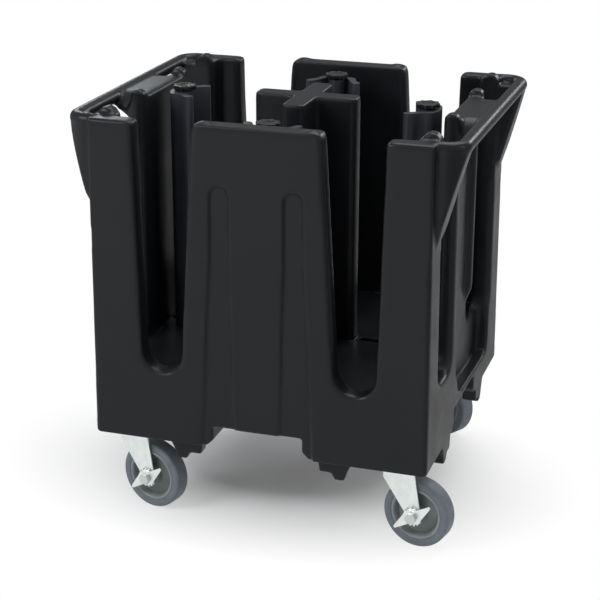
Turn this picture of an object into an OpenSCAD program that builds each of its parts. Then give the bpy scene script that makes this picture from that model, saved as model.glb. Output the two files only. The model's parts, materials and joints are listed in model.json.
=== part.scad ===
// Adjustable plate dispenser cart: four open stack wells round a centre cross,
// four sliding towers that set the well size, two side hand rails and four swivel casters.
// X runs to the right, the front faces -Y, Z is up and the floor is Z = 0.

/* [Body] */
// Width of the body at its foot
body_w = 622; // [600:2:760]
// Depth of the body at its foot
body_d = 596; // [576:2:740]
// Height of the corner posts above the body's foot
body_h = 586; // [460:2:720]
// How far each outer face leans in over the height of the posts
draft = 5; // [0:1:10]
// Radius of the body's four vertical corners
corner_r = 12; // [6:1:18]
// Height of the deck above the body's foot
deck_up = 122; // [112:1:150]
// Thickness of the deck over the clamp pockets
deck_t = 20; // [14:1:28]

/* [Walls] */
// Thickness of the front and back walls and of the posts
wall_t = 42; // [34:1:51]
// Thickness of the left and right centre panels
side_wall_t = 34; // [28:1:40]
// Width of a corner post, seen from the front
post_w = 96; // [80:1:110]
// Width of a corner post, seen from the side
post_d = 79; // [70:1:95]
// Narrowing of a post on its front slot, over the height
post_taper = 9; // [0:1:14]
// Narrowing of a post on its side slot, over the height
side_post_taper = 5; // [0:1:10]
// Width of the front and back slots at the bottom
front_slot_w = 74; // [64:1:84]
// Width of the side slots at the bottom
side_slot_w = 104; // [90:1:120]
// Radius at the foot of every slot
slot_r = 37; // [25:1:40]
// Height of the slot bottoms above the deck
slot_sill = 10; // [6:1:30]
// Height of the front and back panels above the posts
panel_rise = 4; // [0:1:12]
// Narrowing of the front and back panels on each side, over the height
panel_taper = 24; // [0:1:36]
// Narrowing of the side panels on each side, over the height
side_panel_taper = 4; // [0:1:10]
// Radius of the top corners of the front and back panels
panel_top_r = 11; // [4:1:16]

/* [Body details] */
// Depth of the two pressed channels in each front and back face
channel_depth = 4.5; // [2:0.5:8]
// Radius at the top of a pressed channel
channel_r = 17.5; // [12:0.5:22]
// Distance of a channel's centre from the middle of the panel
channel_x = 66.5; // [55:0.5:80]
// Height of a channel's top centre above the body's foot
channel_up = 470; // [300:5:500]
// Depth of the hand recess in each side
recess_depth = 26; // [10:1:28]
// Half width of the arches under the body
arch_half_w = 83; // [60:1:90]
// Height of the arches
arch_h = 38; // [28:1:44]
// Length of a locating bump on the front and back top edges
bump_l = 28; // [16:1:32]
// Width of a locating bump
bump_w = 18; // [10:1:24]
// Height of a locating bump
bump_h = 4; // [2:0.5:8]
// Distance of a bump from the end of its panel
bump_in = 22; // [18:1:34]
// Rise of the domed ends of the side walls above the posts
dome_rise = 11; // [6:1:14]
// Length of a domed end
dome_l = 27; // [20:1:32]
// Depth that a skid lug hangs below the body
lug_drop = 39; // [20:1:44]
// Thickness of a skid lug
lug_t = 28; // [16:1:34]
// Distance of the front and back lugs from the body's face
lug_in = 17; // [8:1:24]
// Distance of every lug from the side of its arch
lug_start = 25; // [16:1:30]

/* [Hand rails] */
// Diameter of a hand rail
rail_dia = 26; // [20:1:32]
// Distance from the body's side to the rail's centre line
rail_out = 34; // [28:1:50]
// Radius of the bend at each end of a rail, on the centre line
rail_bend_r = 30; // [24:1:40]
// How far a rail's end stands back from the body's front and back faces
rail_set_back = 10; // [6:1:20]
// Half width of the bridge between a side panel and its rail
bridge_half_w = 106; // [60:1:108]
// Depth of the bridge
bridge_h = 52; // [40:1:60]
// Radius of the bridge's rounded ends
bridge_nose_r = 42; // [10:1:44]
// How far a gusset's faces stand in from the outside of the rail
gusset_in = 1.5; // [1:0.5:4]
// Drop from the post tops to the foot of a rail's gusset, at the corner's middle
gusset_foot_drop = 187; // [120:1:220]
// Drop from the post tops to the gusset's lower edge at the front and back
gusset_end_drop = 95; // [60:1:110]
// Drop from the post tops to the gusset's lower edge at the side slot
gusset_side_drop = 156; // [110:1:180]

/* [Centre cross] */
// Thickness of the cross arms
cross_t = 42; // [30:1:60]
// Reach of the cross arms from the centre
cross_reach = 97; // [80:1:100]
// Radius of the rounded ends of the arms
cross_r = 10; // [4:1:14]
// Height of the cross above the posts
cross_rise = 2; // [0:1:6]

/* [Towers] */
// Width of a tower across its track
tower_w = 106; // [86:1:130]
// Thickness of a tower's wings
tower_t = 15; // [12:1:18]
// Distance from the rod to the tips of the wings
tower_tip = 33; // [26:1:35]
// Distance from the rod to the outside of the back plate
tower_out = 25; // [20:1:26]
// Width of the back plate, between the roots of the wings
tower_back_w = 52; // [44:1:60]
// Bulge of the back plate
tower_bulge = 6; // [3:1:8]
// Depth of the scoop in the outside of each wing
wing_scoop = 3; // [1:0.5:4]
// Height of the tower tops below the post tops
tower_drop = 9; // [4:1:60]
// Diameter of the lock rods
rod_dia = 10; // [8:1:12]
// Smallest distance of a tower's rod from the centre
tower_in = 130; // [129:1:140]
// Clearance between a tower at its outer stop and the wall
tower_wall_gap = 3; // [1:1:20]
// Where the left tower stands, from the centre
tower_left_at = 240; // [135:1:245]
// Where the right tower stands, from the centre
tower_right_at = 224; // [135:1:245]
// Where the front tower stands, from the centre
tower_front_at = 225; // [135:1:226]
// Where the back tower stands, from the centre
tower_back_at = 183; // [135:1:226]
// Width of the track slots in the deck
track_w = 16; // [14:1:24]
// Diameter over the lobes of a lock knob
knob_dia = 44; // [36:1:50]
// Height of a lock knob
knob_h = 10; // [9:1:16]
// Thickness of a knob over the end of its rod
knob_cap_t = 3; // [2.5:0.5:5]
// Length of a clamp plate along its track
clamp_l = 48; // [36:1:56]
// Width of a clamp plate
clamp_w = 36; // [28:1:44]
// Thickness of a clamp plate
clamp_t = 8; // [5:1:12]

/* [Casters] */
// Height of a caster from the floor to the top of its plate
caster_h = 160; // [156:1:190]
// Diameter of a wheel
wheel_dia = 127; // [100:1:130]
// Width of a tyre
wheel_w = 32; // [26:1:40]
// Thickness of a tyre on its core
tyre_t = 15.5; // [10:0.5:18]
// Distance of the kingpins from the middle, to each side
kingpin_x = 252; // [240:1:256]
// Distance of the kingpins from the middle, to front and back
kingpin_y = 230; // [220:1:236]
// Trail of the wheel axle behind the kingpin
trail = 35; // [25:1:40]
// Side of a square caster plate
plate_l = 100; // [94:1:104]
// Spacing of the plate bolts
plate_bolt_spacing = 76; // [72:1:80]
// Thickness of a caster plate
plate_t = 4; // [3:0.5:5]
// Diameter of the plate bolts
bolt_dia = 8; // [6:1:10]
// Diameter of the wheel axles and kingpins
axle_dia = 12; // [10:1:14]
// Diameter of the bushing inside a hub
bushing_dia = 20; // [18:1:24]
// Tip to tip length of a brake lever
lever_l = 88; // [70:1:96]
// Tilt of the brake levers when off
lever_tilt = 39; // [0:1:45]

/* [Fits] */
// Gap between faces that pass each other
face_gap = 0.3; // [0.2:0.05:0.5]
// Radial clearance of a shaft that turns in a bore
run_gap = 0.05; // [0.02:0.01:0.1]
// Clearance of a tower's tongue in its track, on each side
track_gap = 0.4; // [0.3:0.1:1]

/* [Hidden] */
$fn = 48;

// Heights and edges that the pieces share
foot_z = caster_h;
post_top = foot_z + body_h;
panel_top = post_top + panel_rise;
deck_z = foot_z + deck_up;
pocket_top = deck_z - deck_t;
sill_z = deck_z + slot_sill;
arch_top = foot_z + arch_h;
half_w = body_w / 2;
half_d = body_d / 2;
wall_in_y = half_d - wall_t;
post_in_x = half_w - wall_t;
side_in_x = half_w - side_wall_t;
lean = atan(draft / body_h);
front_post_edge = half_w - post_w;
front_panel_edge = front_post_edge - front_slot_w;
front_slot_mid = (front_post_edge + front_panel_edge) / 2;
side_post_edge = half_d - post_d;
side_panel_edge = side_post_edge - side_slot_w;
side_slot_mid = (side_post_edge + side_panel_edge) / 2;
// Spare length of cutting shapes past the faces that they cut
over = 30;
// Rounded corner of the plan, a little proud of the leaning faces that trim it
plan_r = corner_r + 1;

// Hand rails
rail_r = rail_dia / 2;
rail_x = half_w + rail_out;
rail_z = panel_top - rail_r;
rail_front = half_d - draft - rail_set_back;
rail_end_y = rail_front - rail_r - rail_bend_r;
rail_y = side_post_edge + side_post_taper;
bridge_top = panel_top - 5;
dome_top = post_top + dome_rise;
gusset_foot = post_top - gusset_foot_drop;
gusset_end = post_top - gusset_end_drop;
gusset_side = post_top - gusset_side_drop;

// Hand recesses
recess_floor = half_w - recess_depth;
rib_w = 27;
rear_rib_up = 12;

// Towers
tower_foot = deck_z + face_gap;
tower_top = post_top - tower_drop;
tower_out_x = side_in_x - tower_wall_gap - tower_out;
tower_out_y = wall_in_y - tower_wall_gap - tower_out;
column_r = 15;
rod_r = rod_dia / 2;
tongue_l = 50;
tongue_h = 14;
slot_end = tongue_l / 2 + 1;
pocket_end = clamp_l / 2 + 3;
pocket_w = clamp_w + 10;
clamp_z = pocket_top - face_gap - clamp_t;
rod_foot = clamp_z - 14;
knob_z = tower_top + face_gap;
rod_top = knob_z + knob_h - knob_cap_t;
knob_lobes = 8;

// Casters
wheel_r = wheel_dia / 2;
core_r = wheel_r - tyre_t;
axle_r = axle_dia / 2;
plate_z = foot_z - plate_t;
race_h = 6;
race_z = plate_z - race_h;
race_r = 33;
crown_t = 6;
crown_z = race_z - face_gap - crown_t;
pin_nut_h = 8;
leg_t = 3.2;
leg_in = wheel_w / 2 + 3.5;
leg_out = leg_in + leg_t;
hub_half_w = leg_in - 0.8;
cam_t = 5;
lever_t = 3;
hex_head_h = 7.5;
hex_af = 19;
bolt_head_h = 5.5;
bolt_grip = 24;
front_left_turn = -15.5;
front_right_turn = -12.2;
back_left_turn = 165;
back_right_turn = 150;

plastic = [0.17, 0.175, 0.185];
tower_grey = [0.24, 0.25, 0.27];
knob_black = [0.1, 0.1, 0.11];
zinc = [0.82, 0.84, 0.83];
steel = [0.62, 0.63, 0.65];
tyre_grey = [0.36, 0.38, 0.42];
core_grey = [0.42, 0.44, 0.44];
bronze = [0.66, 0.52, 0.3];

// Points along a circle, from one angle to another
function arc(cx, cz, r, from, to, steps = 6) =
    [for (i = [0:steps])
        let(a = from + (to - from) * i / steps)
        [cx + r * cos(a), cz + r * sin(a)]];

// Half of a leaning side view, from the middle to the outer face
module leaning_half(half) {
    rise = body_h + over;
    polygon([[0, foot_z - over * 2], [half + over * 2 * draft / body_h, foot_z - over * 2],
        [half - rise * draft / body_h, foot_z + rise], [0, foot_z + rise]]);
}

// A side view, drawn as distance from the middle and height, made solid
module along_y(y0, y1) {
    translate([0, y1, 0]) rotate([90, 0, 0]) linear_extrude(y1 - y0) children();
}

module along_x(x0, x1) {
    translate([x0, 0, 0]) rotate([90, 0, 90]) linear_extrude(x1 - x0) children();
}

// The quarter of the body's outline at +X +Y, with leaning faces and a rounded corner
module outline_quarter() {
    intersection() {
        along_y(0, half_d + over) leaning_half(half_w);
        along_x(0, half_w + over) leaning_half(half_d);
        translate([0, 0, foot_z]) linear_extrude(body_h + over) {
            square([half_w + 1 - plan_r, half_d + 1]);
            square([half_w + 1, half_d + 1 - plan_r]);
            translate([half_w + 1 - plan_r, half_d + 1 - plan_r]) circle(plan_r);
        }
    }
}

// Concave foot of a slot: on the post's side it lies before the edge, on the panel's after it
module slot_foot(edge, dir) {
    difference() {
        translate([dir > 0 ? edge : edge - slot_r, sill_z]) square(slot_r);
        translate([edge + dir * slot_r, sill_z + slot_r]) circle(slot_r);
    }
}

// Face view of a corner post, from the middle of its slot to past the corner
module post_face(edge, slot_mid, far, taper) {
    polygon([[slot_mid, sill_z], [far, sill_z], [far, post_top], [edge + taper, post_top],
        [edge, sill_z + slot_r], [edge, sill_z]]);
    slot_foot(edge, -1);
}

// Face view of the low wall under a post, its slot and the foot of the next panel
module sill_face(far) {
    translate([arch_half_w, deck_z]) square([far - arch_half_w, sill_z - deck_z]);
}

// Under the deck a corner is a solid block, cut away at the arches
module arch_side(far) {
    bevel = 12;
    polygon([[arch_half_w, deck_z], [arch_half_w, foot_z + bevel], [arch_half_w + bevel, foot_z],
        [far, foot_z], [far, deck_z]]);
}

// Stepped skid lug, seen from the side that it guards
module lug_side() {
    lug_foot = foot_z - lug_drop;
    start = arch_half_w + lug_start;
    polygon([[start, foot_z], [start + 4, lug_foot + 13], [start + 26, lug_foot + 13],
        [start + 32, lug_foot], [start + 50, lug_foot], [start + 56, foot_z - 20],
        [start + 66, foot_z]]);
}

// Low rounded bump, centred on its foot and long in X
module bump(z) {
    r = (bump_l * bump_l / 4 + bump_h * bump_h) / (2 * bump_h);
    intersection() {
        translate([0, 0, z + bump_h - r]) rotate([90, 0, 0]) cylinder(h = bump_w, r = r, center = true);
        translate([-bump_l / 2, -bump_w / 2, z]) cube([bump_l, bump_w, bump_h]);
    }
}

// Section of a wall with a half-round top, from its inner to its outer face
module domed_section(inner, outer, foot) {
    r = (outer - inner) / 2;
    polygon(concat([[inner, foot]], [[outer, foot]], arc(outer - r, dome_top - r, r, 0, 180, 12)));
}

// Pressed channel of the front face, right of the middle
module channel_cut() {
    edge_z = channel_up;
    foot = -10;
    translate([0, -half_d + channel_depth, foot_z]) rotate([90 - lean, 0, 0])
        linear_extrude(over) {
            translate([channel_x, edge_z]) circle(channel_r);
            polygon([[channel_x - channel_r, edge_z], [channel_x + channel_r, edge_z],
                [channel_x + channel_r + 1, edge_z - 100], [channel_x + 26, edge_z - 230],
                [channel_x + 38, foot], [channel_x - 26, foot],
                [channel_x - channel_r, edge_z - 100]]);
        }
}

module channel_cuts() {
    for (sx = [0, 1], sy = [0, 1])
        mirror([sx, 0, 0]) mirror([0, sy, 0]) channel_cut();
}

// Hand recess in the right side: from the front rib to the rear post, and up between the ribs
module recess_cut() {
    floor_up = foot_z + 52;
    rib = side_panel_edge - rib_w;
    rear = side_post_edge - 11;
    along_x(recess_floor, half_w + over)
        polygon([[-rib, panel_top + over], [-rib, deck_z + 48], [-rib + 14, deck_z - 16],
            [-rib + 38, floor_up + 12], [-rib + 66, floor_up], [rear - 30, floor_up - 8],
            [rear - 8, floor_up - 2], [rear, floor_up + 22], [rear, panel_top + over]]);
}

module recess_cuts() {
    for (sx = [0, 1]) mirror([sx, 0, 0]) recess_cut();
}

// Flared gusset that carries a rail's end, and the rail's bend
module rail_end() {
    bend_x = rail_x - rail_bend_r;
    tube_r = rail_r - gusset_in;
    outer_r = rail_bend_r + tube_r;
    flare_x = rail_x + tube_r - 1.5;
    difference() {
        union() {
            intersection() {
                along_y(rail_y, rail_front) polygon([[half_w - over, gusset_foot],
                    [half_w - draft * (gusset_foot - foot_z) / body_h - 0.5, gusset_foot],
                    [flare_x, rail_z - 5], [flare_x, rail_z], [half_w - over, rail_z]]);
                along_x(half_w - over, rail_x + rail_r) polygon([[side_post_edge + 42, gusset_foot],
                    [half_d, gusset_end], [half_d, rail_z], [rail_y, rail_z], [rail_y, gusset_side]]);
                translate([0, 0, gusset_foot]) linear_extrude(rail_z - gusset_foot) {
                    translate([bend_x, rail_end_y]) circle(outer_r);
                    translate([half_w - over, rail_y])
                        square([rail_x + tube_r - half_w + over, rail_end_y - rail_y]);
                    translate([half_w - over, rail_y])
                        square([bend_x - half_w + over, rail_end_y + outer_r - rail_y]);
                }
            }
            translate([rail_x, rail_end_y, rail_z]) rotate([90, 0, 0])
                cylinder(h = rail_end_y - rail_y, r = rail_r);
            translate([bend_x, rail_end_y, rail_z]) rotate_extrude(angle = 90)
                translate([rail_bend_r, 0]) circle(rail_r);
            translate([half_w - over, rail_end_y + rail_bend_r, rail_z]) rotate([0, 90, 0])
                cylinder(h = bend_x - half_w + over, r = rail_r);
        }
        translate([0, 0, post_top]) cube([half_w - draft - 4, half_d, over]);
    }
}

// Domed end of a post's side wall, beside the side slot
module post_dome() {
    along_y(rail_y, rail_y + dome_l) domed_section(post_in_x + 4, half_w - draft, post_top - over);
}

// A corner: foot block, L-shaped post, lugs and the rail's end, at +X +Y
module corner_quarter() {
    intersection() {
        outline_quarter();
        union() {
            intersection() {
                along_y(0, half_d + over) arch_side(half_w + over);
                along_x(0, half_w + over) arch_side(half_d + over);
            }
            along_y(wall_in_y, half_d + over) {
                post_face(front_post_edge, front_slot_mid, half_w + over, post_taper);
                sill_face(half_w + over);
            }
            along_x(post_in_x, half_w + over)
                post_face(side_post_edge, side_slot_mid, half_d + over, side_post_taper);
            along_x(side_in_x, half_w + over) sill_face(half_d + over);
        }
    }
    rail_end();
    post_dome();
    along_y(half_d - lug_in - lug_t, half_d - lug_in) lug_side();
    along_x(half_w - lug_t, half_w) lug_side();
}

module corner(side, end) {
    color(plastic) difference() {
        mirror([side < 0 ? 1 : 0, 0, 0]) mirror([0, end < 0 ? 1 : 0, 0]) corner_quarter();
        channel_cuts();
        recess_cuts();
        translate([side * kingpin_x, end * kingpin_y, foot_z]) plate_bolt_places()
            translate([0, 0, -1]) cylinder(h = bolt_grip + 1, d = bolt_dia);
    }
}

// Front panel with its slot feet, tapered sides and two bumps
module front_panel() {
    top_half = front_panel_edge - panel_taper;
    r = panel_top_r;
    intersection() {
        for (sx = [0, 1]) mirror([sx, 0, 0]) mirror([0, 1, 0]) outline_quarter();
        along_y(-half_d - over, -wall_in_y) {
            polygon(concat([[arch_half_w, deck_z], [arch_half_w, sill_z], [front_panel_edge, sill_z],
                [front_panel_edge, sill_z + slot_r]],
                arc(top_half - r, panel_top - r, r, 0, 90), arc(-top_half + r, panel_top - r, r, 90, 180),
                [[-front_panel_edge, sill_z + slot_r], [-front_panel_edge, sill_z],
                [-arch_half_w, sill_z], [-arch_half_w, deck_z]]));
            for (sx = [0, 1]) mirror([sx, 0]) slot_foot(front_panel_edge, 1);
        }
    }
    for (sx = [-1, 1])
        translate([sx * (top_half - bump_in), -half_d + wall_t / 2, 0]) bump(panel_top);
}

module panel_ends(end) {
    color(plastic) difference() {
        mirror([0, end > 0 ? 1 : 0, 0]) front_panel();
        channel_cuts();
    }
}

// Right side panel: slot feet, two ribs with round tops, and the shoulder of the rail's bridge
module right_panel() {
    rib_in = side_panel_edge - rib_w;
    rib_top_out = side_panel_edge - side_panel_taper;
    difference() {
        intersection() {
            for (sy = [0, 1]) mirror([0, sy, 0]) outline_quarter();
            along_x(side_in_x, half_w + over) {
                polygon([[arch_half_w, deck_z], [arch_half_w, sill_z], [side_panel_edge, sill_z],
                    [side_panel_edge, sill_z + slot_r], [rib_top_out, dome_top],
                    [rib_in, dome_top], [rib_in, bridge_top], [-rib_in, bridge_top], [-rib_in, dome_top],
                    [-rib_top_out, dome_top], [-side_panel_edge, sill_z + slot_r],
                    [-side_panel_edge, sill_z], [-arch_half_w, sill_z], [-arch_half_w, deck_z]]);
                for (sy = [0, 1]) mirror([sy, 0]) slot_foot(side_panel_edge, 1);
            }
            along_y(-half_d, half_d) union() {
                domed_section(side_in_x, half_w - draft, post_top - over);
                translate([side_in_x, deck_z]) square([side_wall_t, post_top - over - deck_z]);
            }
        }
        recess_cut();
    }
    // Rear rib, set back from the outer face up to its shoulder
    intersection() {
        outline_quarter();
        along_y(rib_in, rib_top_out) intersection() {
            domed_section(side_in_x, half_w - draft, deck_z);
            polygon([[recess_floor, deck_z + 60], [recess_floor + rear_rib_up, deck_z + 90],
                [recess_floor + rear_rib_up, panel_top - 60], [half_w, panel_top - 30],
                [half_w, dome_top], [recess_floor, dome_top]]);
        }
    }
    // Root of the bridge, inside the body's outline
    intersection() {
        for (sy = [0, 1]) mirror([0, sy, 0]) outline_quarter();
        along_y(-rib_in, rib_in)
            polygon([[recess_floor, bridge_top - bridge_h - 8], [half_w, bridge_top - bridge_h + 8],
                [half_w, bridge_top], [recess_floor, bridge_top]]);
    }
}

module panel_sides(side) {
    color(plastic) mirror([side < 0 ? 1 : 0, 0, 0]) right_panel();
}

// Bridge between a side panel and its rail, with ends that round down to the hand gaps
module bridge() {
    nose_y = bridge_half_w - bridge_nose_r;
    nose_z = bridge_top - bridge_nose_r;
    difference() {
        intersection() {
            along_y(-bridge_half_w, bridge_half_w)
                polygon([[half_w - over, bridge_top], [rail_x, bridge_top], [rail_x, rail_z - rail_r + 3],
                    [half_w, bridge_top - bridge_h + 8], [half_w - over, bridge_top - bridge_h]]);
            along_x(half_w - over, rail_x)
                polygon(concat([[bridge_half_w, bridge_top - bridge_h]],
                    arc(nose_y, nose_z, bridge_nose_r, 0, 90), arc(-nose_y, nose_z, bridge_nose_r, 90, 180),
                    [[-bridge_half_w, bridge_top - bridge_h]]));
        }
        for (sy = [0, 1]) mirror([0, sy, 0]) outline_quarter();
    }
}

// Hand rail between the two corner bends, with its bridge
module rail(side) {
    color(plastic) mirror([side < 0 ? 1 : 0, 0, 0]) {
        translate([rail_x, rail_y, rail_z]) rotate([90, 0, 0]) cylinder(h = 2 * rail_y, r = rail_r);
        bridge();
    }
}

module cross_arm() {
    half = cross_t / 2;
    for (s = [-1, 1], t = [-1, 1])
        translate([s * (cross_reach - cross_r), t * (half - cross_r)]) circle(cross_r);
    square([2 * (cross_reach - cross_r), cross_t], center = true);
    square([2 * cross_reach, cross_t - 2 * cross_r], center = true);
}

module centre_cross() {
    color(plastic) translate([0, 0, deck_z]) linear_extrude(post_top + cross_rise - deck_z) {
        cross_arm();
        rotate(90) cross_arm();
    }
}

// Deck between the corner blocks: a cross of four tracks, each a slot over a clamp pocket
module deck_tracks() {
    color(plastic) difference() {
        intersection() {
            for (sx = [0, 1], sy = [0, 1]) mirror([sx, 0, 0]) mirror([0, sy, 0]) outline_quarter();
            translate([0, 0, arch_top]) linear_extrude(deck_z - arch_top) {
                square([2 * arch_half_w, body_d + over], center = true);
                square([body_w + over, 2 * arch_half_w], center = true);
            }
        }
        channel_cuts();
        recess_cuts();
        for (a = [0, 180]) rotate(a) track_cut(tower_out_x);
        for (a = [90, 270]) rotate(a) track_cut(tower_out_y);
    }
}

module track_cut(reach) {
    slot_in = tower_in - slot_end;
    slot_len = reach + slot_end - slot_in;
    pocket_in = tower_in - pocket_end;
    pocket_len = reach + pocket_end - pocket_in;
    translate([slot_in, -track_w / 2, pocket_top - 1]) cube([slot_len, track_w, deck_t + 2]);
    translate([pocket_in, -pocket_w / 2, arch_top - 1])
        cube([pocket_len, pocket_w, pocket_top - arch_top + 1]);
}

// Place a piece at a tower: direction of its track, and the rod's distance from the centre
module at_tower(angle, at) {
    rotate(angle) translate([at, 0, 0]) children();
}

// Half outline of a tower's walls on one side: outer face from the crown to a tip, then back inside
function tower_half() =
    let(root_y = tower_back_w / 2,
        half_t = tower_t / 2,
        crown_x = tower_out - half_t,
        plate_r = (root_y * root_y + tower_bulge * tower_bulge) / (2 * tower_bulge),
        mid_x = crown_x - plate_r,
        root = [crown_x - tower_bulge, root_y],
        tip = [-tower_tip + half_t, (tower_w - tower_t) / 2],
        length = norm(tip - root),
        way = (tip - root) / length,
        out = [way[1], -way[0]],
        facing = atan2(out[1], out[0]),
        swing = asin(root_y / plate_r),
        scoop_from = 0.16,
        scoop_to = 0.8,
        inner_r = plate_r - half_t,
        inner_swing = facing - acos((out * (root - out * half_t - [mid_x, 0])) / inner_r))
    concat(
        arc(mid_x, 0, plate_r + half_t, 0, swing * 7 / 8, 7),
        arc(root[0], root[1], half_t, swing, facing, 4),
        [for (i = [0:10])
            let(u = i / 10, s = scoop_from + (scoop_to - scoop_from) * u)
            root + way * length * s + out * (half_t - 4 * wing_scoop * u * (1 - u))],
        arc(tip[0], tip[1], half_t, facing, facing + 180, 8),
        arc(mid_x, 0, inner_r, inner_swing, 0, 5));

// Plan of a tower: bulging back plate, two swept wings and the column round the rod
module tower_plan() {
    half = tower_half();
    count = len(half);
    polygon(concat(half, [for (i = [count - 2:-1:1]) [half[i][0], -half[i][1]]]));
    circle(column_r);
}

module tower() {
    color(tower_grey) difference() {
        union() {
            translate([0, 0, tower_foot]) linear_extrude(tower_top - tower_foot) tower_plan();
            translate([-tongue_l / 2, -track_w / 2 + track_gap, deck_z - tongue_h])
                cube([tongue_l, track_w - 2 * track_gap, tongue_h + 2]);
        }
        translate([0, 0, deck_z - tongue_h - 1])
            cylinder(h = tower_top - deck_z + tongue_h + 2, r = rod_r + run_gap);
    }
}

// Flat lobed knob on a short neck, dished on top and fixed on the end of its rod
module knob() {
    neck_h = 2.5;
    lobe_r = 4.5;
    lobe_at = knob_dia / 2 - lobe_r;
    dish_h = 1.2;
    color(knob_black) translate([0, 0, knob_z]) difference() {
        union() {
            cylinder(h = neck_h + 1, r = lobe_at - 3);
            translate([0, 0, neck_h]) linear_extrude(knob_h - neck_h) {
                circle(lobe_at + 1.5);
                for (i = [0:knob_lobes - 1])
                    rotate(i * 360 / knob_lobes) translate([lobe_at, 0]) circle(lobe_r);
            }
        }
        translate([0, 0, -1]) cylinder(h = knob_h - knob_cap_t + 1, r = rod_r);
        translate([0, 0, knob_h - dish_h]) cylinder(h = dish_h + 1, r = lobe_at - 6);
    }
}

module rod() {
    stop_h = 4;
    color(steel) translate([0, 0, rod_foot]) {
        cylinder(h = rod_top - rod_foot, r = rod_r);
        cylinder(h = stop_h, r = rod_r + 4);
    }
}

module clamp() {
    color(steel) difference() {
        translate([-clamp_l / 2, -clamp_w / 2, clamp_z]) cube([clamp_l, clamp_w, clamp_t]);
        translate([0, 0, clamp_z - 1]) cylinder(h = clamp_t + 2, r = rod_r + run_gap);
    }
}

// Place a piece at a caster, turned about its kingpin
module at_caster(side, end, turn) {
    translate([side * kingpin_x, end * kingpin_y, 0]) rotate(turn) children();
}

module plate_bolt_places() {
    for (s = [-1, 1], t = [-1, 1])
        translate([s * plate_bolt_spacing / 2, t * plate_bolt_spacing / 2, 0]) children();
}

// Top plate with the fixed half of the swivel race
module caster_plate() {
    color(zinc) difference() {
        union() {
            translate([-plate_l / 2, -plate_l / 2, plate_z]) cube([plate_l, plate_l, plate_t]);
            translate([0, 0, race_z]) cylinder(h = race_h, r = race_r);
        }
        translate([0, 0, race_z - 1]) cylinder(h = race_h + plate_t + 2, r = axle_r);
        plate_bolt_places()
            translate([0, 0, plate_z - 1]) cylinder(h = plate_t + 2, r = bolt_dia / 2 + 0.2);
    }
}

module kingpins() {
    color(steel) for (s = [-1, 1], t = [-1, 1]) at_caster(s, t, 0) {
        translate([0, 0, crown_z - face_gap - pin_nut_h]) {
            cylinder(h = foot_z - crown_z + face_gap + pin_nut_h, r = axle_r);
            cylinder(h = pin_nut_h, d = 24 / cos(30), $fn = 6);
        }
    }
}

module caster_bolts() {
    color(steel) for (s = [-1, 1], t = [-1, 1]) at_caster(s, t, 0) plate_bolt_places() {
        translate([0, 0, plate_z - bolt_head_h]) cylinder(h = bolt_head_h, d = 13 / cos(30), $fn = 6);
        translate([0, 0, plate_z - 1]) cylinder(h = plate_t + bolt_grip + 1, d = bolt_dia);
    }
}

// Side view of a fork leg, from the crown to the axle
module leg_side() {
    leg_foot_r = 14;
    top = crown_z + crown_t;
    polygon([[-27, top], [33, top], [trail + leg_foot_r - 1, wheel_r + 5],
        [trail, wheel_r], [trail - leg_foot_r + 2, wheel_r - 6], [-27, top - 24]]);
    translate([trail, wheel_r]) circle(leg_foot_r);
}

module fork() {
    color(zinc) difference() {
        union() {
            for (y = [-leg_out, leg_in]) along_y(y, y + leg_t) leg_side();
            translate([-27, -leg_out, crown_z]) cube([60, 2 * leg_out, crown_t]);
            translate([0, 0, crown_z]) cylinder(h = crown_t, r = race_r);
        }
        translate([0, 0, crown_z - 1]) cylinder(h = crown_t + 2, r = axle_r + run_gap);
        translate([trail, 0, wheel_r]) rotate([90, 0, 0])
            cylinder(h = 2 * leg_out + 2, r = axle_r, center = true);
    }
}

// Lay a piece along the wheel axle: its own Z points to the brake side
module on_axle(out) {
    translate([trail, -out, wheel_r]) rotate([90, 0, 0]) children();
}

// Axle bolt; on a braked caster its head clears the cam and the lever
module axle(braked) {
    head_at = leg_out + (braked ? cam_t + lever_t + 2 * face_gap : 0);
    color(zinc) {
        on_axle(-leg_out - 3) cylinder(h = head_at + leg_out + 3, r = axle_r);
        on_axle(head_at) {
            cylinder(h = hex_head_h, d = hex_af / cos(30), $fn = 6);
        }
        on_axle(-leg_out - hex_head_h) cylinder(h = hex_head_h, d = hex_af / cos(30), $fn = 6);
    }
}

module bushing() {
    color(bronze) difference() {
        on_axle(-leg_in) cylinder(h = 2 * leg_in, d = bushing_dia);
        on_axle(-leg_in - 1) cylinder(h = 2 * leg_in + 2, r = axle_r);
    }
}

// Ring swept round the axle from a half section in radius and width
module wheel_ring() {
    on_axle(0) rotate_extrude($fn = 96) children();
}

module tyre() {
    half = wheel_w / 2;
    shoulder = 5;
    color(tyre_grey) wheel_ring() {
        polygon([[core_r, -half + 1.5], [core_r + 2, -half], [wheel_r - shoulder, -half],
            [wheel_r, -half + shoulder], [wheel_r, half - shoulder], [wheel_r - shoulder, half],
            [core_r + 2, half], [core_r, half - 1.5]]);
        for (s = [-1, 1]) translate([wheel_r - shoulder, s * (half - shoulder)]) circle(shoulder);
    }
}

module wheel_core() {
    half = wheel_w / 2;
    bore = bushing_dia / 2 + run_gap;
    web = 5;
    hub_r = bushing_dia / 2 + 7;
    color(core_grey) wheel_ring()
        polygon([[bore, -hub_half_w], [hub_r - 2, -hub_half_w], [hub_r, -hub_half_w + 2],
            [hub_r + 2, -web - 1], [core_r - 10, -web], [core_r - 6, -half + 3], [core_r - 4.5, -half + 1.5],
            [core_r, -half + 1.5], [core_r, half - 1.5], [core_r - 4.5, half - 1.5], [core_r - 6, half - 3],
            [core_r - 10, web], [hub_r + 2, web + 1], [hub_r, hub_half_w - 2], [hub_r - 2, hub_half_w],
            [bore, hub_half_w]]);
}

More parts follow.
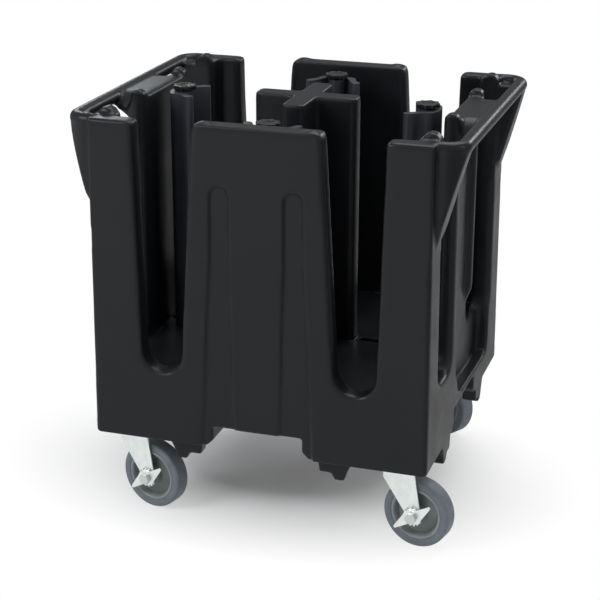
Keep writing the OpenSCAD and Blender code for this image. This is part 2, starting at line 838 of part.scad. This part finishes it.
// Toothed crown washer between the leg and the lever
module brake_cam() {
    cam_r = 15;
    teeth = 14;
    color(zinc) difference() {
        union() {
            on_axle(leg_out) cylinder(h = cam_t, r = cam_r);
            for (i = [0:teeth - 1])
                on_axle(leg_out) rotate(i * 360 / teeth) translate([cam_r - 1, -2, 0]) cube([4, 4, cam_t]);
        }
        on_axle(leg_out - 1) cylinder(h = cam_t + 2, r = axle_r);
    }
}

// Two-armed lever: a broad hub and two arms that narrow to their tips
module brake_lever() {
    half = lever_l / 2;
    color(zinc) difference() {
        on_axle(leg_out + cam_t + face_gap) rotate(lever_tilt) linear_extrude(lever_t)
            polygon([[half, 1.5], [half, -2], [half - 4, -4], [14, -12], [5, -16], [-6, -13],
                [-12, -7], [-half + 4, -2.5], [-half, -1.5], [-half, 2], [-half + 4, 4], [-14, 12],
                [-5, 16], [6, 13], [12, 7], [half - 4, 2.5]]);
        on_axle(leg_out) cylinder(h = cam_t + lever_t + 2, r = axle_r + run_gap);
    }
}

corner(-1, -1);  // corner_front_left
corner(1, -1);  // corner_front_right
corner(-1, 1);  // corner_back_left
corner(1, 1);  // corner_back_right
panel_ends(-1);  // panel_front
panel_ends(1);  // panel_back
panel_sides(-1);  // panel_left
panel_sides(1);  // panel_right
rail(-1);  // rail_left
rail(1);  // rail_right
centre_cross();
deck_tracks();
at_tower(270, tower_front_at) tower();  // tower_front
at_tower(90, tower_back_at) tower();  // tower_back
at_tower(180, tower_left_at) tower();  // tower_left
at_tower(0, tower_right_at) tower();  // tower_right
at_tower(270, tower_front_at) knob();  // knob_front
at_tower(90, tower_back_at) knob();  // knob_back
at_tower(180, tower_left_at) knob();  // knob_left
at_tower(0, tower_right_at) knob();  // knob_right
at_tower(270, tower_front_at) rod();  // rod_front
at_tower(90, tower_back_at) rod();  // rod_back
at_tower(180, tower_left_at) rod();  // rod_left
at_tower(0, tower_right_at) rod();  // rod_right
at_tower(270, tower_front_at) clamp();  // clamp_front
at_tower(90, tower_back_at) clamp();  // clamp_back
at_tower(180, tower_left_at) clamp();  // clamp_left
at_tower(0, tower_right_at) clamp();  // clamp_right
at_caster(-1, -1, 0) caster_plate();  // caster_plate_front_left
at_caster(1, -1, 0) caster_plate();  // caster_plate_front_right
at_caster(-1, 1, 0) caster_plate();  // caster_plate_back_left
at_caster(1, 1, 0) caster_plate();  // caster_plate_back_right
kingpins();
caster_bolts();
at_caster(-1, -1, front_left_turn) fork();  // fork_front_left
at_caster(1, -1, front_right_turn) fork();  // fork_front_right
at_caster(-1, 1, back_left_turn) fork();  // fork_back_left
at_caster(1, 1, back_right_turn) fork();  // fork_back_right
at_caster(-1, -1, front_left_turn) axle(true);  // axle_front_left
at_caster(1, -1, front_right_turn) axle(true);  // axle_front_right
at_caster(-1, 1, back_left_turn) axle(false);  // axle_back_left
at_caster(1, 1, back_right_turn) axle(false);  // axle_back_right
at_caster(-1, -1, front_left_turn) bushing();  // bushing_front_left
at_caster(1, -1, front_right_turn) bushing();  // bushing_front_right
at_caster(-1, 1, back_left_turn) bushing();  // bushing_back_left
at_caster(1, 1, back_right_turn) bushing();  // bushing_back_right
at_caster(-1, -1, front_left_turn) tyre();  // tyre_front_left
at_caster(1, -1, front_right_turn) tyre();  // tyre_front_right
at_caster(-1, 1, back_left_turn) tyre();  // tyre_back_left
at_caster(1, 1, back_right_turn) tyre();  // tyre_back_right
at_caster(-1, -1, front_left_turn) wheel_core();  // wheel_core_front_left
at_caster(1, -1, front_right_turn) wheel_core();  // wheel_core_front_right
at_caster(-1, 1, back_left_turn) wheel_core();  // wheel_core_back_left
at_caster(1, 1, back_right_turn) wheel_core();  // wheel_core_back_right
at_caster(-1, -1, front_left_turn) brake_lever();  // brake_lever_front_left
at_caster(1, -1, front_right_turn) brake_lever();  // brake_lever_front_right
at_caster(-1, -1, front_left_turn) brake_cam();  // brake_cam_front_left
at_caster(1, -1, front_right_turn) brake_cam();  // brake_cam_front_right
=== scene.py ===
"""The looks of an adjustable plate dispenser cart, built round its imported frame.

Metres, +X to the cart's right, -Y to its front, Z up. Sizes that a builder would quote in
millimetres are written as such, times MM.
"""
import json
import math

import bmesh
import bpy
import numpy as np
from mathutils import Matrix, Vector

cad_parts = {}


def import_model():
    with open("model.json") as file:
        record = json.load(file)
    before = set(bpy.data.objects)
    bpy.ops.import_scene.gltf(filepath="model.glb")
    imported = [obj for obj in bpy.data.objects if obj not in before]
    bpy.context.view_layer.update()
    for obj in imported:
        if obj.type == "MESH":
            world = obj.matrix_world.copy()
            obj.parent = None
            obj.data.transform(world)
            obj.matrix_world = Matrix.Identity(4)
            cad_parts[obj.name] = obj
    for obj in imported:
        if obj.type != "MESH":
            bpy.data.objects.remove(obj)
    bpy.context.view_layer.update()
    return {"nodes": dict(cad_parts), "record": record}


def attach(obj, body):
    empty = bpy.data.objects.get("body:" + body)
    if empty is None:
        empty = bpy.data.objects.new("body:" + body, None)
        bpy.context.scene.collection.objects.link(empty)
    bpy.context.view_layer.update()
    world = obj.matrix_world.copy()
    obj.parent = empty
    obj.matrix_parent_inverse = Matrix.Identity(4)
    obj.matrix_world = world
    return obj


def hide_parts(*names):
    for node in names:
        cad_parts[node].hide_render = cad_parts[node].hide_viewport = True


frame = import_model()
MM = 0.001
SIDES = ("left", "right")
ENDS = ("front", "back")
CORNERS = [(end, side) for end in ENDS for side in SIDES]

# The moulding, whose CAD nodes meet face to face, and its mesh
BODY_NODES = ([f"corner_{end}_{side}" for end, side in CORNERS]
              + [f"panel_{place}" for place in (*ENDS, *SIDES)]
              + ["rail_left", "rail_right", "centre_cross", "deck_tracks"])
BODY_VOXEL = 2.0 * MM
BODY_FACES = 185_000

# How widely the moulding is rounded, in millimetres: plainly, and then stretch by stretch.
# A stretch is a span of distances from the middle in X and in Y and a span of heights, in metres.
# Where stretches overlap, the later one counts. LEAST and MOST are beyond every place on the cart.
PLAIN_ROUNDING = 6.0
LEAST, MOST = -1.0, 1.0
ALL = (LEAST, MOST)
ABOVE_DECK = (0.29, MOST)
ROUND_THE_TRACKS = (0.19, 0.31)
BODY_ROUNDINGS = {
    "front and back slots": ((0.110, 0.235), (0.24, MOST), ABOVE_DECK, 8.0),
    "side slots": ((0.26, MOST), (0.100, 0.226), ABOVE_DECK, 8.0),
    "below the deck": (ALL, ALL, (LEAST, 0.255), 5.0),
    "foot of the body and its lugs": (ALL, ALL, (LEAST, 0.185), 3.2),
    "gussets of the rails": ((0.302, MOST), (0.21, MOST), (0.55, MOST), 4.0),
    "pressed channels": ((LEAST, 0.108), (0.284, MOST), (LEAST, 0.68), 2.8),
    "tops of the rails": ((0.316, MOST), ALL, (0.715, MOST), 3.0),
    "raised tops": (ALL, ALL, (0.7475, MOST), 4.0),
    "front and back tower ways": ((LEAST, 0.064), (LEAST, 0.262), ROUND_THE_TRACKS, 1.2),
    "side tower ways": ((LEAST, 0.288), (LEAST, 0.064), ROUND_THE_TRACKS, 1.2),
}

# Width of the broken edges of each other kind of piece, in millimetres
EDGE_WIDTHS = {"tower": 1.6, "knob": 1.3, "fork": 0.9, "axle": 0.6, "brake_lever": 0.7, "brake_cam": 0.4,
               "caster_plate": 1.0, "caster_bolts": 0.5, "kingpins": 0.8, "clamp": 0.8, "rod": 1.0,
               "tyre": 2.0, "wheel_core": 0.8}
EDGE_SEGMENTS = 3

# Vertices nearer than this are joined, and faces that turn by less than this become one flat face
WELD = 0.002 * MM
FLAT_WITHIN = math.radians(0.4)

# Edges that turn by more than the first are bevelled. Those that then turn by more than the
# second are shaded sharp.
BEVELLED_FROM = math.radians(35)
SHARP_FROM = math.radians(32)

# The rolled lip of a wheel's core: (radius, distance from the wheel's middle) in millimetres
CORE_LIP = [(43.7, 14.2), (43.9, 15.0), (44.6, 15.5), (46.0, 15.8),
            (47.6, 15.5), (48.3, 14.9), (48.4, 14.2)]
LIP_STEPS = 96
LIP_SHARP_FROM = math.radians(60)


# Materials

def grey(level):
    """A colour without hue, with an alpha of 1."""
    return (level, level, level, 1.0)


def shaded(colour, factor, lift=0.0):
    """A colour times a factor and lifted a little, with an alpha of 1."""
    return tuple(min(1.0, part * factor + lift) for part in colour) + (1.0,)


def connected(tree, source, socket):
    """Feeds a socket from another one, or gives it a plain value."""
    if isinstance(source, bpy.types.NodeSocket):
        tree.links.new(source, socket)
    else:
        socket.default_value = source


class Surface:
    """A material and short ways to add nodes to it."""

    def __init__(self, name):
        self.material = bpy.data.materials.new(name)
        self.material.use_nodes = True
        self.tree = self.material.node_tree
        self.shader = self.tree.nodes["Principled BSDF"]
        self.place = self.node("ShaderNodeTexCoord").outputs["Object"]

    def node(self, kind, inputs=None, **settings):
        made = self.tree.nodes.new(kind)
        for key, value in settings.items():
            setattr(made, key, value)
        for key, value in (inputs or {}).items():
            connected(self.tree, value, made.inputs[key])
        return made

    def link(self, source, key):
        self.tree.links.new(source, self.shader.inputs[key])

    def stretched(self, scale):
        """The place on the object, stretched by a factor on each axis."""
        return self.node("ShaderNodeMapping", {"Vector": self.place, "Scale": scale}).outputs[0]

    def noise(self, scale, detail, roughness, place=None, distortion=0.0):
        inputs = {"Vector": place or self.place, "Scale": scale, "Detail": detail,
                  "Roughness": roughness, "Distortion": distortion}
        return self.node("ShaderNodeTexNoise", inputs).outputs["Fac"]

    def span(self, value, source, target=(0.0, 1.0)):
        """A value from the span source, mapped to the span target and held inside it."""
        inputs = {"Value": value, "From Min": source[0], "From Max": source[1],
                  "To Min": target[0], "To Max": target[1]}
        return self.node("ShaderNodeMapRange", inputs, clamp=True).outputs[0]

    def math(self, operation, first, second):
        return self.node("ShaderNodeMath", {0: first, 1: second}, operation=operation).outputs[0]

    def blend(self, factor, first, second):
        """The first colour where the factor is 0, the second where it is 1."""
        return self.node("ShaderNodeMix", {0: factor, 6: first, 7: second}, data_type="RGBA").outputs[2]

    def pointed(self, source, target=(0.0, 1.0)):
        """How pointed the surface is, 0.5 on flat faces, mapped from source to target."""
        return self.span(self.node("ShaderNodeNewGeometry").outputs["Pointiness"], source, target)

    def edges(self, low, high):
        """Near 1 on sharp outer edges, 0 on flat faces and in hollows."""
        return self.pointed((low, high))

    def hollows(self, low, high):
        """Near 1 in sharp inner corners, 0 on flat faces and on outer edges."""
        return self.pointed((low, high), (1.0, 0.0))

    def bump(self, *layers):
        """Bump from layers of (height, distance in metres), one on top of the other."""
        normal = None
        for height, distance in layers:
            inputs = {"Height": height, "Distance": distance, "Strength": 1.0}
            if normal:
                inputs["Normal"] = normal
            normal = self.node("ShaderNodeBump", inputs).outputs[0]
        self.link(normal, "Normal")


def moulded_plastic(name, colour, rough, peel=0.10, wear_and_highlight=0.35, specular=0.25, hollow_shade=0.4):
    """Moulded polyethylene: orange peel, fine grain, cloudy sheen, scuffs, edges pale from wear and painted
    highlight, painted shade in hollows.
    """
    skin = Surface(name)
    dark, light = shaded(colour, 0.86), shaded(colour, 1.16)
    pale, hollow_shade_colour = shaded(colour, 2.1, 0.012), shaded(colour, 0.25)
    clouds = skin.noise(scale=5.5, detail=4.0, roughness=0.6)
    base = skin.blend(skin.span(clouds, (0.3, 0.7)), dark, light)

    # Edges painted pale, partly as rubbed wear and partly as a painted highlight, more in some places than
    # in others
    patches = skin.noise(scale=46.0, detail=5.0, roughness=0.7)
    rubbed_and_highlit = skin.math("MULTIPLY", skin.edges(0.52, 0.62), skin.span(patches, (0.4, 0.75), (0.15, 1.0)))
    base = skin.blend(skin.math("MULTIPLY", rubbed_and_highlit, wear_and_highlight), base, pale)

    # Upright scuffs
    upright = skin.stretched((1.0, 1.0, 0.16))
    streaks = skin.noise(scale=26.0, detail=8.0, roughness=0.75, place=upright, distortion=0.6)
    scuffs = skin.span(streaks, (0.60, 0.72), (0.0, 0.28))
    base = skin.blend(scuffs, base, light)

    # Painted shade: inner corners darkened and made less glossy
    inner = skin.math("MULTIPLY", skin.hollows(0.455, 0.496), hollow_shade)
    skin.link(skin.blend(inner, base, hollow_shade_colour), "Base Color")
    skin.link(skin.span(inner, (0.0, 1.0), (specular, specular * 0.3)), "Specular IOR Level")

    smears = skin.noise(scale=11.0, detail=6.0, roughness=0.65)
    sheen = skin.span(smears, (0.3, 0.72), (rough - 0.05, rough + 0.07))
    skin.link(skin.math("ADD", sheen, skin.math("MULTIPLY", scuffs, 0.3)), "Roughness")
    orange_peel = skin.noise(scale=190.0, detail=2.0, roughness=0.5)
    grain = skin.noise(scale=950.0, detail=3.0, roughness=0.6)
    skin.bump((orange_peel, peel * MM), (grain, 0.035 * MM))
    return skin.material


def plated_steel(name, colour, rough, streak=(1.0, 1.0, 1.0)):
    """Plated metal: darker clouds, faint crystals, bright worn edges and fine streaks."""
    skin = Surface(name)
    skin.shader.inputs["Metallic"].default_value = 1.0
    dark, light = shaded(colour, 0.90), shaded(colour, 1.05)
    clouds = skin.noise(scale=60.0, detail=5.0, roughness=0.6)
    base = skin.blend(skin.span(clouds, (0.32, 0.68)), dark, light)
    crystals = skin.node("ShaderNodeTexVoronoi", {"Vector": skin.place, "Scale": 260.0}).outputs["Distance"]
    base = skin.blend(skin.span(crystals, (0.1, 0.75), (0.0, 0.30)), base, light)
    worn = skin.math("MULTIPLY", skin.edges(0.52, 0.60), 0.6)
    skin.link(skin.blend(worn, base, grey(0.95)), "Base Color")
    drawn = skin.noise(scale=420.0, detail=3.0, roughness=0.6, place=skin.stretched(streak))
    skin.link(skin.span(drawn, (0.25, 0.75), (rough - 0.07, rough + 0.09)), "Roughness")
    skin.bump((drawn, 0.02 * MM), (crystals, 0.015 * MM))
    return skin.material


def tread_rubber(name, colour, dust_colour):
    """Grey elastomer: matt, cloudy, finely grained and a little dusty."""
    skin = Surface(name)
    skin.shader.inputs["Specular IOR Level"].default_value = 0.35
    clouds = skin.noise(scale=38.0, detail=6.0, roughness=0.65)
    base = skin.blend(skin.span(clouds, (0.3, 0.7)), shaded(colour, 0.82), shaded(colour, 1.15))
    specks = skin.noise(scale=150.0, detail=5.0, roughness=0.7)
    dust = skin.span(specks, (0.52, 0.75), (0.0, 0.35))
    skin.link(skin.blend(dust, base, shaded(dust_colour, 1.0)), "Base Color")
    smears = skin.noise(scale=70.0, detail=4.0, roughness=0.6)
    skin.link(skin.span(smears, (0.3, 0.7), (0.48, 0.66)), "Roughness")
    skin.bump((skin.noise(scale=700.0, detail=3.0, roughness=0.6), 0.05 * MM))
    return skin.material


# On these plastics the pale edges are partly wear and partly painted highlight, and the dark, dull hollows
# are painted shade
BODY = moulded_plastic("body_plastic", (0.0096, 0.0106, 0.0128), 0.34, wear_and_highlight=0.6, specular=0.22, hollow_shade=1.0)
TOWER = moulded_plastic("tower_plastic", (0.030, 0.032, 0.040), 0.34, peel=0.04, specular=0.35)
KNOB = moulded_plastic("knob_plastic", (0.009, 0.009, 0.010), 0.26, peel=0.02, wear_and_highlight=0.7, specular=0.5)
CORE = moulded_plastic("core_plastic", (0.205, 0.232, 0.228), 0.40, peel=0.02, specular=0.35)
# A lighter copy of the core's plastic, as a painted highlight on the rolled lip of each wheel's core
RIM_HIGHLIT = moulded_plastic("core_rim_highlight_plastic", (0.250, 0.275, 0.285), 0.28, peel=0.01, specular=0.5)
TYRE = tread_rubber("tyre_rubber", (0.168, 0.194, 0.222), (0.24, 0.26, 0.28))
ZINC = plated_steel("zinc_plate", (0.80, 0.84, 0.825), 0.44)
BOLT = plated_steel("bolt_zinc", (0.50, 0.55, 0.53), 0.34)
STEEL = plated_steel("rod_steel", (0.60, 0.61, 0.63), 0.30, streak=(1.0, 1.0, 0.1))
BUSHING = plated_steel("bushing_metal", (0.66, 0.52, 0.30), 0.34)
FINISH = {"tower_plastic": TOWER, "knob_plastic": KNOB, "rod_steel": STEEL, "zinc_plate": ZINC,
          "bushing_metal": BUSHING, "tyre_rubber": TYRE, "core_plastic": CORE, "body_plastic": BODY}


# Mesh tools

def shown(name, data):
    """A new object in the scene."""
    made = bpy.data.objects.new(name, data)
    bpy.context.scene.collection.objects.link(made)
    return made


def mesh_from(work, name):
    """A mesh made of finished mesh work."""
    mesh = bpy.data.meshes.new(name)
    work.to_mesh(mesh)
    work.free()
    return mesh


def merged_copy(node):
    """A copy of a CAD node as a new object, with its split vertices joined."""
    made = shown(node + "_copy", frame["nodes"][node].data.copy())
    work = bmesh.new()
    work.from_mesh(made.data)
    bmesh.ops.remove_doubles(work, verts=work.verts, dist=WELD)
    work.to_mesh(made.data)
    work.free()
    return made


def baked(obj):
    """Applies an object's modifiers."""
    graph = bpy.context.evaluated_depsgraph_get()
    mesh = bpy.data.meshes.new_from_object(obj.evaluated_get(graph))
    obj.modifiers.clear()
    obj.data = mesh
    return obj


def united(nodes):
    """One solid made of several CAD nodes that meet face to face."""
    whole = merged_copy(nodes[0])
    for node in nodes[1:]:
        other = merged_copy(node)
        join = whole.modifiers.new("join", "BOOLEAN")
        join.operation = "UNION"
        join.solver = "MANIFOLD"
        join.object = other
        baked(whole)
        bpy.data.objects.remove(other)
    return whole


def remeshed(obj, voxel):
    """The object's surface as a fine even mesh."""
    remesh = obj.modifiers.new("remesh", "REMESH")
    remesh.mode = "VOXEL"
    remesh.voxel_size = voxel
    remesh.adaptivity = 0.0
    return baked(obj)


def coordinates(mesh):
    places = np.empty(len(mesh.vertices) * 3)
    mesh.vertices.foreach_get("co", places)
    return places.reshape(-1, 3)


def relaxed(obj, voxel, rounding):
    """Rounds a fine mesh: rounding gives each vertex the spread in metres that its edges get."""
    mesh = obj.data
    places = coordinates(mesh)
    ends = np.empty(len(mesh.edges) * 2, np.int64)
    mesh.edges.foreach_get("vertices", ends)
    first, second = ends.reshape(-1, 2).T
    neighbours = np.bincount(np.concatenate([first, second]), minlength=len(places))
    neighbours = np.maximum(neighbours, 1)[:, None]
    spread = rounding(places)
    rate = 0.5
    rounds = max(1, math.ceil(2 * spread.max() ** 2 / (rate * voxel ** 2)))
    weight = (rate * (spread / spread.max()) ** 2)[:, None]
    for _ in range(rounds):
        total = np.stack([np.bincount(first, places[second, axis], len(places))
                          + np.bincount(second, places[first, axis], len(places))
                          for axis in range(3)], axis=1)
        places = places + weight * (total / neighbours - places)
    mesh.vertices.foreach_set("co", places.ravel())
    mesh.update()
    return obj


def thinned(obj, faces):
    """Collapses a fine mesh of quads to a number of triangles."""
    triangles = 2 * len(obj.data.polygons)
    thin = obj.modifiers.new("thin", "DECIMATE")
    thin.ratio = min(1.0, faces / triangles)
    return baked(obj)


def placed(obj, name, body, material, replaces=()):
    """Names a piece, gives it its finish and fixes it to its CAD body."""
    obj.name = name
    obj.data.name = name
    obj.data.materials.clear()
    obj.data.materials.append(material)
    obj.data.polygons.foreach_set("use_smooth", [True] * len(obj.data.polygons))
    obj.data.update()
    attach(obj, body)
    if replaces:
        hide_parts(*replaces)
    return obj


# The moulded body

def within(values, span):
    """Which values lie between the two ends of a span."""
    low, high = span
    return (values > low) & (values < high)


def body_rounding(places):
    """How widely each vertex of the moulding is rounded, in metres."""
    across, along, height = np.abs(places[:, 0]), np.abs(places[:, 1]), places[:, 2]
    spread = np.full(len(places), PLAIN_ROUNDING)
    for spans_x, spans_y, spans_z, rounding in BODY_ROUNDINGS.values():
        here = within(across, spans_x) & within(along, spans_y) & within(height, spans_z)
        spread[here] = rounding
    return spread * MM


def body_shell():
    """The whole moulding as one rounded skin."""
    shell = remeshed(united(BODY_NODES), BODY_VOXEL)
    relaxed(shell, BODY_VOXEL, body_rounding)
    thinned(shell, BODY_FACES)
    placed(shell, "body_shell", "root", BODY, BODY_NODES)


body_shell()


# Pieces with broken edges

def bevelled(node, width):
    """A copy of a CAD node with its sharp edges rounded, to a width in millimetres."""
    made = merged_copy(node)
    work = bmesh.new()
    work.from_mesh(made.data)
    bmesh.ops.dissolve_limit(work, angle_limit=FLAT_WITHIN, verts=work.verts, edges=work.edges)
    work.to_mesh(made.data)
    work.free()
    bevel = made.modifiers.new("bevel", "BEVEL")
    bevel.width = width * MM
    bevel.segments = EDGE_SEGMENTS
    bevel.limit_method = "ANGLE"
    bevel.angle_limit = BEVELLED_FROM
    bevel.use_clamp_overlap = True
    bevel.miter_outer = "MITER_ARC"
    return baked(made)


BODY_OF = {node: body for body, nodes in frame["record"]["behaviour"]["bodies"].items() for node in nodes}
SLOT_OF = {part["node"]: part["material_slot"] for part in frame["record"]["subparts"]}


def dressed():
    """Every piece beside the moulding and the bushings, with its edges rounded."""
    for node, slot in SLOT_OF.items():
        kind = next((kind for kind in EDGE_WIDTHS if node.startswith(kind)), None)
        if kind is None:
            continue
        piece = bevelled(node, EDGE_WIDTHS[kind])
        finish = BOLT if kind in ("axle", "brake_cam") else FINISH[slot]
        placed(piece, node + "_piece", BODY_OF[node], finish, [node])
        piece.data.set_sharp_from_angle(angle=SHARP_FROM)


dressed()


def turned(name, profile, centre, axis, steps):
    """A closed ring: a profile of (radius, distance along the axis), turned about that axis."""
    work = bmesh.new()
    along = Vector(axis).normalized()
    side = along.orthogonal().normalized()
    rings = []
    for step in range(steps):
        out = Matrix.Rotation(2 * math.pi * step / steps, 3, along) @ side
        rings.append([work.verts.new(Vector(centre) + out * radius * MM + along * distance * MM)
                      for radius, distance in profile])
    for step, ring in enumerate(rings):
        following = rings[(step + 1) % steps]
        for point in range(len(profile)):
            after = (point + 1) % len(profile)
            work.faces.new((ring[point], ring[after], following[after], following[point]))
    bmesh.ops.recalc_face_normals(work, faces=work.faces)
    return shown(name, mesh_from(work, name))


def core_rims():
    """The rolled lip where each wheel's core meets its tyre, on both faces, lighter than the core as a
    painted highlight.
    """
    joints = frame["record"]["behaviour"]["joints"]
    rolls = {joint["child"]: joint for joint in joints if joint["name"].endswith("_roll")}
    for end, side in CORNERS:
        roll = rolls[f"wheel_{end}_{side}_body"]
        for face, way in (("outer", 1), ("inner", -1)):
            name = f"core_rim_{face}_{end}_{side}"
            profile = [(radius, way * distance) for radius, distance in CORE_LIP]
            ring = turned(name, profile, roll["pos_m"], roll["axis"], LIP_STEPS)
            placed(ring, name, roll["child"], RIM_HIGHLIT)
            ring.data.set_sharp_from_angle(angle=LIP_SHARP_FROM)


core_rims()


def cad_finishes():
    """Plain finishes of the CAD pieces, for those that stay as they are."""
    for node, slot in SLOT_OF.items():
        mesh = frame["nodes"][node].data
        mesh.materials.clear()
        mesh.materials.append(FINISH[slot])


cad_finishes()


# Camera, floor and light

def camera():
    """The photograph's view, found by fitting a camera to some forty of its points."""
    azimuth, elevation, roll = math.radians(17.97), math.radians(19.93), math.radians(0.12)
    distance, aim_right, aim_up, aim_height = 3.0975, -0.0245, -0.0425, 0.4
    look = Vector((-math.sin(azimuth) * math.cos(elevation),
                   math.cos(azimuth) * math.cos(elevation), -math.sin(elevation)))
    right = Vector((math.cos(azimuth), math.sin(azimuth), 0.0))
    up = right.cross(look)
    tilted_right = right * math.cos(roll) + up * math.sin(roll)
    tilted_up = up * math.cos(roll) - right * math.sin(roll)
    place = tilted_right * aim_right + tilted_up * aim_up + Vector((0, 0, aim_height)) - look * distance
    data = bpy.data.cameras.new("camera")
    data.sensor_width = 36.0
    data.lens = 98.27
    data.shift_x = 0.00975
    data.shift_y = -0.0057
    data.clip_start = 0.05
    made = shown("camera", data)
    axes = Matrix((tilted_right, tilted_up, -look)).transposed().to_4x4()
    made.matrix_world = Matrix.Translation(place) @ axes
    bpy.context.scene.camera = made


def ray_kinds(tree):
    """Two sockets: 1 for the camera's own rays, and 1 for mirrored rays."""
    path = tree.nodes.new("ShaderNodeLightPath")
    return path.outputs["Is Camera Ray"], path.outputs["Is Glossy Ray"]


def joined(tree, operation, first, second):
    """The result of a sum on two sockets or plain values."""
    made = tree.nodes.new("ShaderNodeMath")
    made.operation = operation
    connected(tree, first, made.inputs[0])
    connected(tree, second, made.inputs[1])
    return made.outputs[0]


def world(light, front, back):
    """A white backdrop for the camera, that lights the cart from all round.

    In mirrored rays it has one strength in front of the cart and another behind it.
    """
    made = bpy.data.worlds.new("studio")
    bpy.context.scene.world = made
    made.use_nodes = True
    tree = made.node_tree
    tree.nodes.clear()
    backdrop = tree.nodes.new("ShaderNodeBackground")
    backdrop.inputs["Color"].default_value = grey(1.0)
    seen, mirrored = ray_kinds(tree)
    direction = tree.nodes.new("ShaderNodeSeparateXYZ")
    tree.links.new(tree.nodes.new("ShaderNodeTexCoord").outputs["Generated"], direction.inputs[0])
    front_until, back_from = -0.2, 0.6
    by_direction = tree.nodes.new("ShaderNodeMapRange")
    tree.links.new(direction.outputs["Y"], by_direction.inputs["Value"])
    spans = {"From Min": front_until, "From Max": back_from, "To Min": front, "To Max": back}
    for key, value in spans.items():
        by_direction.inputs[key].default_value = value
    direct = joined(tree, "MAXIMUM", seen, joined(tree, "MULTIPLY", mirrored, by_direction.outputs[0]))
    others = joined(tree, "SUBTRACT", 1.0, joined(tree, "MAXIMUM", seen, mirrored))
    level = joined(tree, "ADD", direct, joined(tree, "MULTIPLY", others, light))
    tree.links.new(level, backdrop.inputs["Strength"])
    out = tree.nodes.new("ShaderNodeOutputWorld")
    tree.links.new(backdrop.outputs[0], out.inputs[0])


def floor_mesh(half):
    """One square on the ground, as far from the middle as half on each side."""
    work = bmesh.new()
    signs = ((-1, -1), (1, -1), (1, 1), (-1, 1))
    work.faces.new([work.verts.new((x * half, y * half, 0.0)) for x, y in signs])
    return mesh_from(work, "floor")


def floor_whiteness(skin, seen, mirrored):
    """How far each place of the floor is plain white, and not shaded by the lamps.

    The camera sees a shaded oval under the cart, that fades into white. In mirrored rays the
    floor is white before the cart and fades to shaded behind it and far to its right.
    """
    shade_half_x, shade_half_y, shade_left = 0.60, 0.40, 0.045
    moved = skin.node("ShaderNodeVectorMath", {0: skin.place, 1: (shade_left, 0.0, 0.0)}, operation="ADD")
    in_halves = {"Vector": moved.outputs[0], "Scale": (1 / shade_half_x, 1 / shade_half_y, 1.0)}
    oval = skin.node("ShaderNodeMapping", in_halves).outputs[0]
    away = skin.node("ShaderNodeVectorMath", {0: oval}, operation="LENGTH").outputs["Value"]
    fade = skin.span(away, (0.32, 0.98), (0.08, 1.0))
    spot = skin.node("ShaderNodeSeparateXYZ", {0: skin.place}).outputs
    before = skin.span(spot["Y"], (-0.30, 0.45), (0.9, 0.0))
    not_right = skin.span(spot["X"], (0.40, 0.80), (1.0, 0.12))
    in_mirrors = skin.math("MULTIPLY", not_right, skin.math("MULTIPLY", before, mirrored))
    return skin.math("MAXIMUM", skin.math("MULTIPLY", fade, seen), in_mirrors)


def floor():
    """A pale floor that takes the cart's shadow and fades into the white backdrop."""
    skin = Surface("floor_white")
    skin.shader.inputs["Roughness"].default_value = 0.9
    skin.shader.inputs["Specular IOR Level"].default_value = 0.0
    skin.bump((skin.noise(scale=40.0, detail=4.0, roughness=0.6), 0.05 * MM))
    seen, mirrored = ray_kinds(skin.tree)
    skin.link(skin.blend(mirrored, grey(0.92), grey(0.55)), "Base Color")

    # Far before the cart, mirrored rays see a floor that is brighter than white
    spot = skin.node("ShaderNodeSeparateXYZ", {0: skin.place}).outputs
    glow = skin.math("MULTIPLY", skin.span(spot["Y"], (-2.3, -0.7), (0.40, 0.0)), mirrored)
    white = skin.node("ShaderNodeEmission", {"Strength": skin.math("ADD", glow, 1.0)}).outputs[0]

    mixed = {0: floor_whiteness(skin, seen, mirrored), 1: skin.shader.outputs[0], 2: white}
    mix = skin.node("ShaderNodeMixShader", mixed)
    skin.tree.links.new(mix.outputs[0], skin.tree.nodes["Material Output"].inputs[0])
    made = shown("floor", floor_mesh(half=9.0))
    made.data.materials.append(skin.material)


def lamp(name, place, aim, size, watts, colour=(1.0, 1.0, 1.0)):
    """A soft square-edged lamp that points at a place."""
    data = bpy.data.lights.new(name, "AREA")
    data.shape = "RECTANGLE"
    data.size, data.size_y = size
    data.energy = watts
    data.color = colour
    made = shown(name, data)
    made.location = place
    made.rotation_euler = (Vector(aim) - Vector(place)).to_track_quat("-Z", "Y").to_euler()


camera()
world(light=0.336, front=0.73, back=0.216)
floor()
lamp("key", (0.3, 1.0, 3.0), (0, 0, 0.3), (2.2, 2.2), 52)
lamp("front_fill", (-1.9, -2.2, 2.3), (0, 0, 0.45), (1.4, 1.4), 44, (0.94, 0.97, 1.0))
lamp("side_strip", (3.0, -0.2, 1.9), (0, 0, 0.5), (0.6, 1.6), 9)
lamp("rim", (1.5, 3.0, 1.8), (0, 0, 0.6), (1.2, 0.7), 22, (0.92, 0.96, 1.0))
lamp("left_rim", (-2.0, 2.8, 1.8), (-0.2, 0, 0.6), (0.9, 0.6), 9, (0.90, 0.95, 1.0))

bpy.context.scene.view_settings.view_transform = "Standard"
